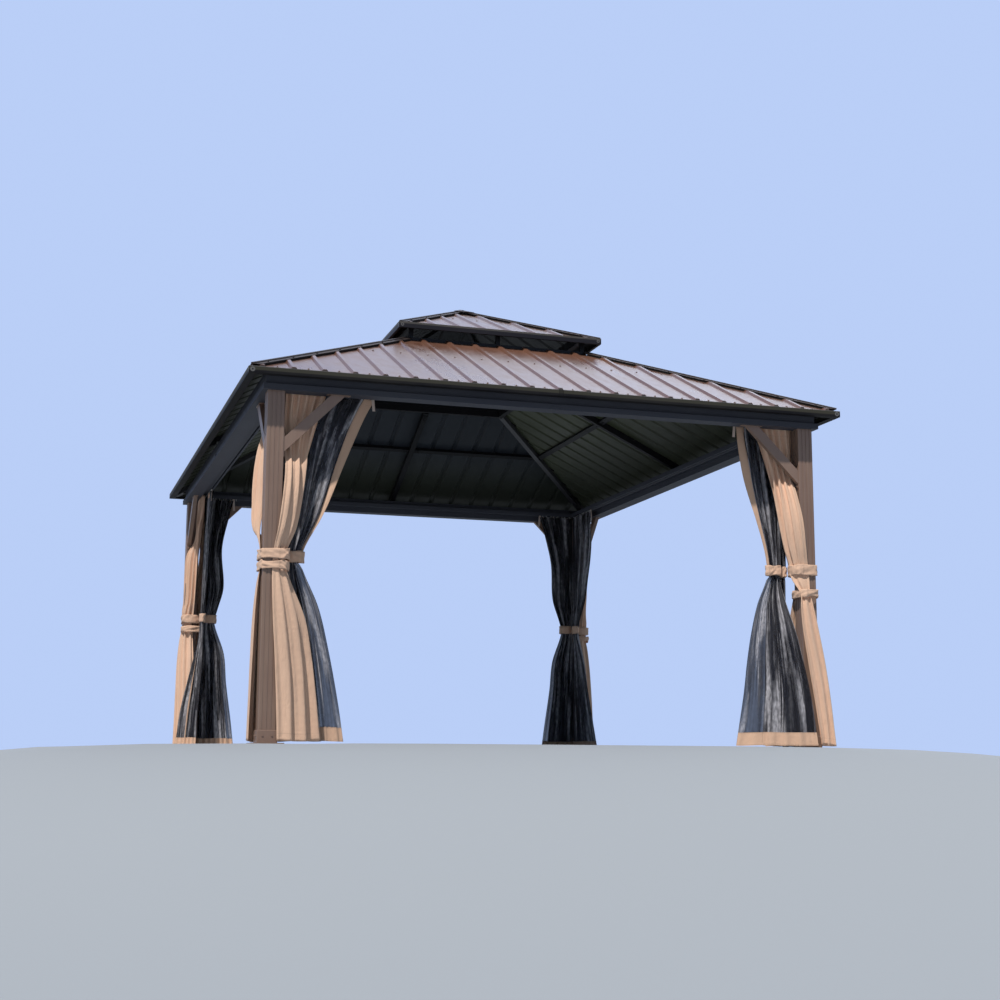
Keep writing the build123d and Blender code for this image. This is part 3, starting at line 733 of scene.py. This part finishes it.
def folded(u, z, cloth, bound_share):
    """Share of the way from trailing to leading edge, and push across it, -1 to 1, of
    the thread at u of the cloth's width. Close pleats at the hooks open into a few
    broad folds over layers that double back, crushed together at the tie."""
    seed, flat_edge = cloth.seed, cloth.bound
    body = min(u / (1 - flat_edge), 1.0)
    past = max(u - 1 + flat_edge, 0.0) / (flat_edge or 1.0)
    w = doubled(cloth.drawn, body)
    layer = cloth.layer
    pleat = 2 * pi * cloth.pleats * w + 1.1 * wobble(w * 3.5, z * 0.9, seed)
    hooked = w, sin(pleat) * 0.66 + 0.62 * layer * (body - 0.5)
    phase = cloth.phase
    turn = 2 * pi * cloth.folds_above * w + phase + 1.9 * wobble(w * 2.2, z * 1.5, seed + 3)
    drawn = w, drape(turn) * (0.74 + 0.4 * wobble(w * 3, z * 1.2, seed + 9)) + 0.44 * layer * (body - 0.5)
    w = doubled(cloth.loose, u)
    turn = 2 * pi * cloth.folds_below * w + 2.1 * phase + 1.5 * wobble(w * 2, z * 1.3, seed + 4)
    loose = w, drape(turn) * (0.7 + 0.4 * wobble(w * 3, z * 1.2, seed + 7)) + 0.5 * layer * (u - 0.5)
    header = ease((z - 1.72) / 0.25)
    above = [h * header + d * (1 - header) for h, d in zip(hooked, drawn)]
    above[0] = above[0] * (1 - bound_share) + past * bound_share
    above[1] = above[1] * (1 - past) + past * 0.7 * wobble(1.7, z * 3.2, seed + 8)
    below = ease((cloth.tie + 0.03 - z) / 0.09)
    crushed = exp(-((z - cloth.tie) / 0.13) ** 2)
    fine, broad = wobble(u * 34, z * 1.5, seed + 2), wobble(u * 13, z * 2.2, seed + 5)
    wrinkle = (0.22 + 0.26 * crushed) * fine + 0.2 * broad
    return (above[0] + (loose[0] - above[0]) * below,
            above[1] + (loose[1] - above[1]) * below + wrinkle)


def cloth_mesh(name, points, faces, flat_place):
    """A mesh whose UV map keeps flat_place(face corner, vertex), in metres."""
    mesh = bpy.data.meshes.new(name)
    mesh.from_pydata(points, [], faces)
    flat = mesh.uv_layers.new(name="flat").data
    for k, vertex in enumerate(c for f in faces for c in f):
        flat[k].uv = flat_place(k, vertex)
    return mesh


def cloth_grid(name, corner, along_x, cloth, levels, paint):
    """A gathered panel as a grid, its flat place in metres kept as a UV map."""
    place = corner_place(corner, along_x)
    width, length = cloth.flat
    us, vs = cloth.across, cloth.down
    points = []
    for v in vs:
        level = cloth_top + (cloth_clear - cloth_top) * v / length
        ta, td, la, ld, bow, half, edge = eased(levels, level)
        turned_flat = 0.25 + 0.75 * ease((level - cloth.tie - 0.05) / 0.75)
        bound = min(cloth.bound * width * turned_flat / hypot(la - ta, ld - td), 0.5)
        for u in us:
            share = u / width
            w, push = folded(share, level, cloth, bound)
            w = min(max(w, 0.0), 1.0)
            ka, kd = (ta + la) / 2 + bow, (td + ld) / 2 - bow
            along = (1 - w) ** 2 * ta + 2 * w * (1 - w) * ka + w * w * la
            deep = (1 - w) ** 2 * td + 2 * w * (1 - w) * kd + w * w * ld
            ga = 2 * (1 - w) * (ka - ta) + 2 * w * (la - ka)
            gd = 2 * (1 - w) * (kd - td) + 2 * w * (ld - kd)
            size = hypot(ga, gd) or 1.0
            push *= half * (edge + (1 - edge) * ease((w - 0.2) / 0.4))
            flutter = wobble(share * 9, 0.3, cloth.seed + 6)
            drop = cloth.scallop * flutter * ease((v - length * 0.9) / (length * 0.1))
            drop -= (0.004 - 0.004 * cos(4 * pi * cloth.pleats * share)) * ease(1 - v / 0.12)
            drop -= cloth.droop * ease((share - 0.9) / 0.1) * ease(1 - v / 0.45)
            points.append(place(along - gd / size * push, deep + ga / size * push, level + drop))
    count = len(us)
    turned = (CORNERS[corner][0] * CORNERS[corner][1] > 0) == along_x
    faces, slots = [], []
    for j in range(len(vs) - 1):
        for i in range(count - 1):
            quad = (j * count + i, j * count + i + 1, (j + 1) * count + i + 1, (j + 1) * count + i)
            faces.append(quad if turned else quad[::-1])
            slots.append(paint((us[i] + us[i + 1]) / 2, (vs[j] + vs[j + 1]) / 2))
    mesh = cloth_mesh(name, points, faces, lambda k, vertex: (us[vertex % count], vs[vertex // count]))
    mesh.polygons.foreach_set("material_index", slots)
    return mesh


def thicken(cloth, thickness, offset):
    wall = cloth.modifiers.new("cloth_thickness", "SOLIDIFY")
    wall.thickness, wall.offset = thickness, offset


def khaki_weave(name, lit, shaded, edges):
    """Plain woven polyester; edges are the flat distances, across and along, of its sewn lines."""
    cloth = Finish(name, Roughness=0.85, Specular_IOR_Level=0.25, Sheen_Weight=0.15, Sheen_Roughness=0.5)
    flat = cloth.node("ShaderNodeUVMap", uv_map="flat")
    thread = cloth.noise(900.0, 1.0, (1, 0.25, 1), flat) + cloth.noise(900.0, 1.0, (0.25, 1, 1), flat)
    cloud = cloth.spread(cloth.noise(3.0, 4.0, place=flat), 0.35, 0.7)
    base = cloth.mix(cloud * 0.6, lit, shaded)
    base = cloth.mix(cloth.spread(thread, 0.8, 1.25) * 0.3, base, [c * 0.78 for c in lit])
    across, along, _ = cloth.split(flat)
    sewn = None
    for run, other, places in ((across, along, edges[0]), (along, across, edges[1])):
        for place in places:
            dash = cloth.sum("FRACT", other * 220.0) > 0.35
            line = cloth.sum("COMPARE", run, place, 0.0009) * dash
            sewn = line if sewn is None else cloth.sum("MAXIMUM", sewn, line)
    base = cloth.mix(sewn * 0.55, base, [c * 0.45 for c in lit])
    cloth.set("Base Color", base)
    crinkle = cloth.noise(34.0, 4.0, (1, 0.22, 1), flat) * 9 + cloth.noise(38.0, 3.0, place=flat) * 3
    cloth.bump(thread * 0.25 + crinkle - sewn * 0.8, 0.0008, 0.9)
    return cloth.material


privacy_flat = privacy_width, privacy_length = 1.22, 2.012
privacy_khaki = khaki_weave("khaki_weave", (0.82, 0.56, 0.415), (0.74, 0.49, 0.355),
                            ((0.022, privacy_width - 0.022), (0.004, 0.066, privacy_length - 0.04)))


def metres(*rows):
    """Levels from rows in millimetres: height, trailing edge along and in, leading edge
    along and in, bow, half depth, and last the trailing share of it in per cent."""
    return [(*(value / 1000 for value in row[:-1]), row[-1] / 100) for row in rows]


privacy_levels = metres(
    (2040, 18, 93, 262, 93, 0, 20, 100), (1860, 14, 90, 212, 91, 2, 22, 95),
    (1680, 12, 76, 166, 88, 6, 23, 85), (1560, 14, 10, 142, 86, 18, 23, 50),
    (1380, -2, -34, 114, 82, 34, 23, 50), (1200, -22, -28, 84, 78, 38, 20, 40),
    (1100, -38, -10, 46, 72, 34, 14, 20), (1045, -44, -7, 32, 68, 32, 11, 15),
    (980, -48, -7, 32, 68, 32, 11, 15), (880, -48, -16, 66, 74, 40, 18, 45),
    (700, -40, -26, 140, 80, 38, 23, 60), (480, -24, -30, 184, 85, 34, 25, 70),
    (250, -10, -32, 218, 86, 30, 26, 75), (15, 0, -34, 248, 88, 30, 27, 75))
# The front right panel hangs in front of its post below the tie
pulled_levels = [row for row in privacy_levels if row[0] > 1.15] + metres(
    (1100, -38, -10, 60, 72, 34, 14, 20), (1045, -44, -7, 52, 68, 32, 11, 15),
    (980, -46, -10, 44, 30, 22, 13, 30), (905, -42, -22, 16, -8, 6, 12, 60),
    (840, -50, -32, 28, -26, 2, 15, 90), (700, -78, -37, 22, -33, 0, 18, 100),
    (480, -122, -38, -12, -36, 0, 20, 100), (250, -154, -39, -50, -38, 0, 21, 100),
    (15, -176, -40, -82, -40, 0, 22, 100))
# The front left side panel bellies outward below its brace
bellied_levels = metres(
    (2040, 18, 93, 262, 93, 0, 20, 100), (1860, 14, 86, 226, 52, 0, 18, 100),
    (1770, 14, 78, 206, 16, 0, 16, 100), (1680, 14, 62, 192, -6, 0, 19, 80),
    (1560, 16, 36, 176, -20, 0, 20, 80), (1380, 16, 18, 146, -28, 0, 20, 80),
    (1200, -6, -12, 100, -16, 6, 17, 70)) + [row for row in privacy_levels if row[0] < 1.15]
# The panels at the back hug their posts
hugged_levels = [row if row[0] > 1.6 or row[0] < 1.15 else
                 (*row[:2], max(row[2], 0.002), *row[3:5], row[5] * 0.5, *row[6:]) for row in privacy_levels]
# The back left side panel keeps behind its net, which flares out in front of it
narrow_levels = [row if row[0] > 0.95 else (*row[:3], row[3] * 0.58, *row[4:]) for row in hugged_levels]


def steps(*marks):
    """Places from mark to mark, given as a place, then how many steps to the next."""
    places = [marks[0]]
    for start, count, end in zip(marks[::2], marks[1::2], marks[2::2]):
        places += [start + (end - start) * i / count for i in range(1, count + 1)]
    return places


privacy_across = steps(0, 190, privacy_width)
privacy_down = steps(0, 4, 0.07, 74, privacy_length - 0.04, 3, privacy_length)
privacy_shapes = {"front_right_front": pulled_levels, "front_left_left": bellied_levels,
                  "back_left_back": hugged_levels, "back_left_left": narrow_levels,
                  "back_right_back": hugged_levels, "back_right_right": hugged_levels}
for count, (corner, along_x) in enumerate(panels):
    side = corner.split("_")[0 if along_x else 1]
    name = corner + "_" + side
    in_front = name == "front_right_front"
    cloth = SimpleNamespace(
        flat=privacy_flat, across=privacy_across, down=privacy_down,
        seed=count * 3 + 11, tie=tie_at[corner], phase=0.6 + count * 0.9, layer=1,
        pleats=5.3, bound=0.0, scallop=0.012, droop=0.006,
        drawn=(0.0, 1.0, 0.03, 0.98), folds_above=3.2 if name == "front_left_front" else 4.1,
        loose=(0.0, 1.0) * 5 + (0.1,) if in_front else (0.0, 1.0, 0.03, 0.97, 0.06, 0.94),
        folds_below=2.0 if in_front else 3.6 if name == "back_left_left" else 2.7)
    levels = tied(privacy_shapes.get(name, privacy_levels), tie_at[corner])
    mesh = cloth_grid("privacy", corner, along_x, cloth, levels, lambda u, v: 0)
    panel = link("privacy_" + name, mesh, privacy_khaki, smooth=True)
    thicken(panel, 0.0012, 0.0)
    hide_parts("curtains_" + corner)

# Insect nets
# Black knitted netting bound in khaki at the top, down the leading edge and along the
# hem, with a pull tab at the leading top corner. They hang from the inner slot and are
# tied back beside the privacy curtains.
net_flat = net_width, net_length = 1.6, 2.012
net_header, net_trim, net_hem = 0.04, 0.06, 0.078
net_in = 135


def hung(*rows):
    """Levels of a net under its slot, from rows of height, trailing and leading edge along."""
    return metres(*((z, start, net_in, end, net_in, 0, 15 if z < 300 else 14, 100) for z, start, end in rows))


net_levels = hung((2040, 58, 552), (1900, 57, 486), (1626, 56, 380), (1310, 56, 262), (1120, 58, 164),
                  (1045, 60, 142), (985, 60, 150), (770, 57, 248), (530, 56, 312), (230, 56, 374),
                  (15, 56, 410))
# The front right net spreads forward past its post below the tie
net_pulled = hung((2040, 58, 366), (1900, 57, 356), (1690, 57, 322), (1550, 56, 288), (1380, 62, 238),
                  (1180, 74, 182), (1045, 80, 166)) + metres(
    (985, 84, 132, 176, 135, 0, 14, 100), (850, 72, 78, 240, 135, 6, 14, 100),
    (690, 52, 4, 288, 135, 14, 15, 100), (510, 14, -14, 324, 135, 22, 16, 100),
    (300, -26, -24, 354, 135, 34, 16, 100), (15, -56, -42, 408, 135, 50, 15, 100))
# The back left side net flares out past its post below the tie
net_flared = [row for row in net_levels if row[0] > 1.0] + metres(
    (985, 62, 133, 152, 135, 0, 14, 100), (850, 92, 112, 206, 130, 0, 14, 100),
    (690, 132, 66, 246, 122, 0, 15, 100), (510, 166, 18, 286, 112, 0, 16, 100),
    (300, 196, -26, 322, 100, 0, 17, 100), (15, 226, -60, 360, 86, 0, 18, 100))
# The back right side net hangs wide
net_wide = hung((2040, 58, 480), (1900, 57, 494), (1770, 57, 498), (1610, 56, 466), (1450, 56, 400),
                (1280, 56, 330), (1120, 58, 192), (1045, 60, 144), (985, 60, 154)) + metres(
    (770, 57, 135, 290, 130, 0, 14, 100), (530, 56, 135, 372, 122, 0, 14, 100),
    (230, 56, 135, 462, 106, 0, 15, 100), (15, 56, 135, 520, 90, 0, 15, 100))
netting = Finish("black_netting", Roughness=0.6, Specular_IOR_Level=0.3)
net_thread = netting.node("ShaderNodeUVMap", uv_map="flat")
net_highlight_streak = netting.spread(netting.noise(19.0, 4.0, (1, 0.07, 1), net_thread), 0.49, 0.61)
net_fold = netting.spread(netting.noise(31.0, 2.0, (1, 0.03, 1), net_thread), 0.5, 0.62)
net_mottle = netting.spread(netting.noise(85.0, 2.0, (1, 0.35, 1), net_thread), 0.32, 0.68)
# Painted highlights: pale streaks in the black netting where folds catch the light; the same streaks also
# thicken the net a little.
netting.set("Base Color", netting.mix(net_highlight_streak * (net_mottle * 0.6 + 0.4),
                                      (0.014, 0.014, 0.02), (0.56, 0.55, 0.6)))
netting.set("Alpha", net_highlight_streak * 0.14 + net_mottle * 0.08 + net_fold * 0.2 + 0.56)
netting.bump(netting.noise(900.0, 1.0, place=net_thread), 0.0004, 0.5)
net_edge, hem_top = net_width - net_trim, net_length - net_hem
net_khaki = khaki_weave("khaki_binding", (0.73, 0.49, 0.355), (0.64, 0.42, 0.3),
                        ((net_width - 0.004, net_edge + 0.005),
                         (0.004, net_header - 0.004, hem_top + 0.004, net_length - 0.006)))
net_across = steps(0, 190, net_edge, 10, net_width)
net_down = steps(0, 3, net_header, 70, hem_top, 4, net_length)
net_patch = 0.2


def net_paint(u, v):
    """Netting, or khaki on the hem, the leading trim and the patch at its head."""
    return int(v > hem_top or u > net_edge or (v < net_header and u > net_width - net_patch))


net_shapes = {"front_left_front": (net_levels, 1.01), "front_right_front": (net_pulled, 1.0),
              "back_left_back": (net_levels, 0.48), "back_left_left": (net_flared, 0.86),
              "back_right_back": (net_levels, 0.62), "back_right_right": (net_wide, 1.0)}
pull_tabs = []
for count, (corner, along_x) in enumerate(panels):
    side = corner.split("_")[0 if along_x else 1]
    name = corner + "_" + side
    at_back = corner.startswith("back")
    wide = name == "back_right_right"
    shape, reach = net_shapes.get(name, (net_levels, 0.86))
    spread = 0.8 if along_x and at_back else 1.0
    start = 0.024 if along_x and corner != "front_right" else 0.0
    levels = []
    for z, trail, trail_in, lead, *rest in tied(shape, tie_at[corner]):
        lead *= 1 + (reach - 1) * ease((z - tie_height) / 0.6) + (spread - 1) * ease((tie_height - z) / 0.6)
        levels.append((z, trail - start, trail_in, lead, *rest))
    cloth = SimpleNamespace(
        flat=net_flat, across=net_across, down=net_down,
        seed=count * 3 + 61, tie=tie_at[corner], phase=count * 1.3,
        pleats=7.3 / spread, folds_above=4.3, folds_below=5.2 / spread, scallop=0.012,
        layer=-1 if at_back else 1, droop=0.0 if at_back else 0.008,
        bound=0.0 if at_back else net_trim / net_width,
        drawn=((0.0, 1.0, 0.02, 1.0, 0.6) if wide else
               (0.0, 1.0, 0.02, 1.0, 0.03, 1.0) + ((0.55,) if at_back else ())),
        loose=((0.0, 1.0, 0.03, 1.0, 0.5) if wide else
               (0.0, 0.84, 0.02, 0.8, 0.0, 1.0, 0.42) if at_back else
               (0.0, 0.66, 0.02, 0.62, 0.0, 1.0, 0.42)))
    mesh = cloth_grid("net", corner, along_x, cloth, levels, net_paint)
    mesh.materials.append(netting.material)
    mesh.materials.append(net_khaki)
    panel = link("net_" + name, mesh, None, smooth=True)
    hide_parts("nets_" + corner)
    lead = eased(levels, 1.98)[2] + 0.003
    place = corner_place(corner, along_x)
    pull_tabs.append([[place(a + swing, b - swing / 2, z) for a, b in
                       ((lead, 0.1345), (lead + 0.017, 0.1345), (lead + 0.017, 0.1365), (lead, 0.1365))]
                      for z, swing in ((2.039, 0.0), (1.946, 0.009))])
tab_coat = powder_coat("pale_tab", (0.62, 0.5, 0.44), (0.46, 0.37, 0.32), 0.5)
blocks("net_pull_tabs", pull_tabs, tab_coat)

# Tie-backs
# Straps of the curtain cloth with a hook-and-loop end. Two hold the privacy curtains to
# each post, one above the other, and a third gathers each net on its own.
def strap(name, corner, loop, level, height, seed, twist=0.0):
    """A closed strap round loop, a list of (along, in) points of the corner's front or back panel."""
    place = corner_place(corner, True)
    ring, rows, twist_at, slack = 120, 9, 31, 0.0018
    size = len(loop)
    plan = []
    for i in range(ring):
        t = i / ring * size
        k = int(t)
        t -= k
        p0, p1, p2, p3 = (Vector(loop[(k + o) % size]) for o in (-1, 0, 1, 2))
        plan.append(0.5 * ((2 * p1) + (p2 - p0) * t + (2 * p0 - 5 * p1 + 4 * p2 - p3) * t * t
                           + (3 * p1 - p0 - 3 * p2 + p3) * t ** 3))
    points, flats = [], []
    girth = 0.0
    for i, p in enumerate(plan):
        way = plan[(i + 1) % ring] - plan[i - 1]
        out = Vector((way.y, -way.x)).normalized()
        for j in range(rows):
            f = j / (rows - 1) - 0.5
            crease = wobble(i * 0.11 + f * 2.1, f * 2.6, seed) * slack * 3.4 + (0.25 - f * f) * slack * 1.8
            lean = 0.006 * wobble(i * 0.05, 0.7, seed + 1)
            tight = 1 - 0.22 * ease(wobble(i * 0.045, 1.9, seed + 2) * 1.6)
            for lean_of_fold in (-1, 1):
                past = i - twist_at
                crease += twist * exp(-((f + lean_of_fold * past / 24) / 0.13) ** 2 - (past / 15) ** 2)
            q = p + out * crease
            points.append(place(q.x, q.y, level + lean + f * height * tight))
            flats.append((girth, (f + 0.5) * height))
        girth += (plan[(i + 1) % ring] - p).length
    turned = CORNERS[corner][0] * CORNERS[corner][1] > 0
    faces = []
    for i in range(ring):
        for j in range(rows - 1):
            a, b = i * rows + j, (i + 1) % ring * rows + j
            quad = (a, b, b + 1, a + 1)
            faces.append(quad[::-1] if turned else quad)

    def flat_place(k, vertex):
        wrap = girth if k // 4 // (rows - 1) == ring - 1 and vertex < rows else 0.0
        return flats[vertex][0] + wrap, flats[vertex][1]

    band = link(name, cloth_mesh(name, points, faces, flat_place), strap_khaki, smooth=True)
    thicken(band, 0.0016, 1.0)


strap_height, lower_strap_height = 0.068, 0.052
strap_khaki = khaki_weave("strap_weave", (0.8, 0.54, 0.4), (0.7, 0.465, 0.335),
                          ((0.098, 0.103, 0.148), (0.004, 0.062)))
hull_half = [(-0.105, -0.005), (-0.055, -0.013), (0.002, -0.018),
             (0.03, -0.01), (0.05, 0.02), (0.053, 0.07)]
curtain_loop = hull_half + [(0.026, 0.126)] + [(deep - 0.1, along + 0.1) for along, deep in hull_half[:0:-1]]
net_loop = [(0.052, 0.135), (0.064, 0.117), (0.104, 0.113), (0.14, 0.117), (0.157, 0.135),
            (0.142, 0.155), (0.104, 0.16), (0.066, 0.154)]
# The lower strap at the front right holds the panel in front of the post
pulled_loop = [(-0.105, -0.01), (-0.062, -0.038), (-0.016, -0.046), (0.012, -0.036), (0.027, 0.004),
               (0.028, 0.066), (0.01, 0.108), (-0.024, 0.134)] + curtain_loop[8:]
strap_gap = {"front_left": 0.064, "front_right": 0.149, "back_left": 0.08, "back_right": 0.07}
for count, corner in enumerate(CORNERS):
    tie = tie_at[corner]
    front_right = corner == "front_right"
    strap("strap_upper_" + corner, corner, curtain_loop, tie, strap_height, count + 31,
          twist=0.007 if corner == "front_left" else 0.002)
    strap("strap_lower_" + corner, corner, pulled_loop if front_right else curtain_loop,
          tie - strap_gap[corner], lower_strap_height, count + 41)
    end_loop = [(along + 0.02 * front_right, deep) for along, deep in net_loop]
    side_loop = [(deep - 0.1, along + 0.1) for along, deep in net_loop[::-1]]
    strap("net_strap_" + corner + "_ends", corner, end_loop, tie + 0.004, strap_height, count + 51)
    strap("net_strap_" + corner + "_sides", corner, side_loop, tie + 0.002, strap_height, count + 55)
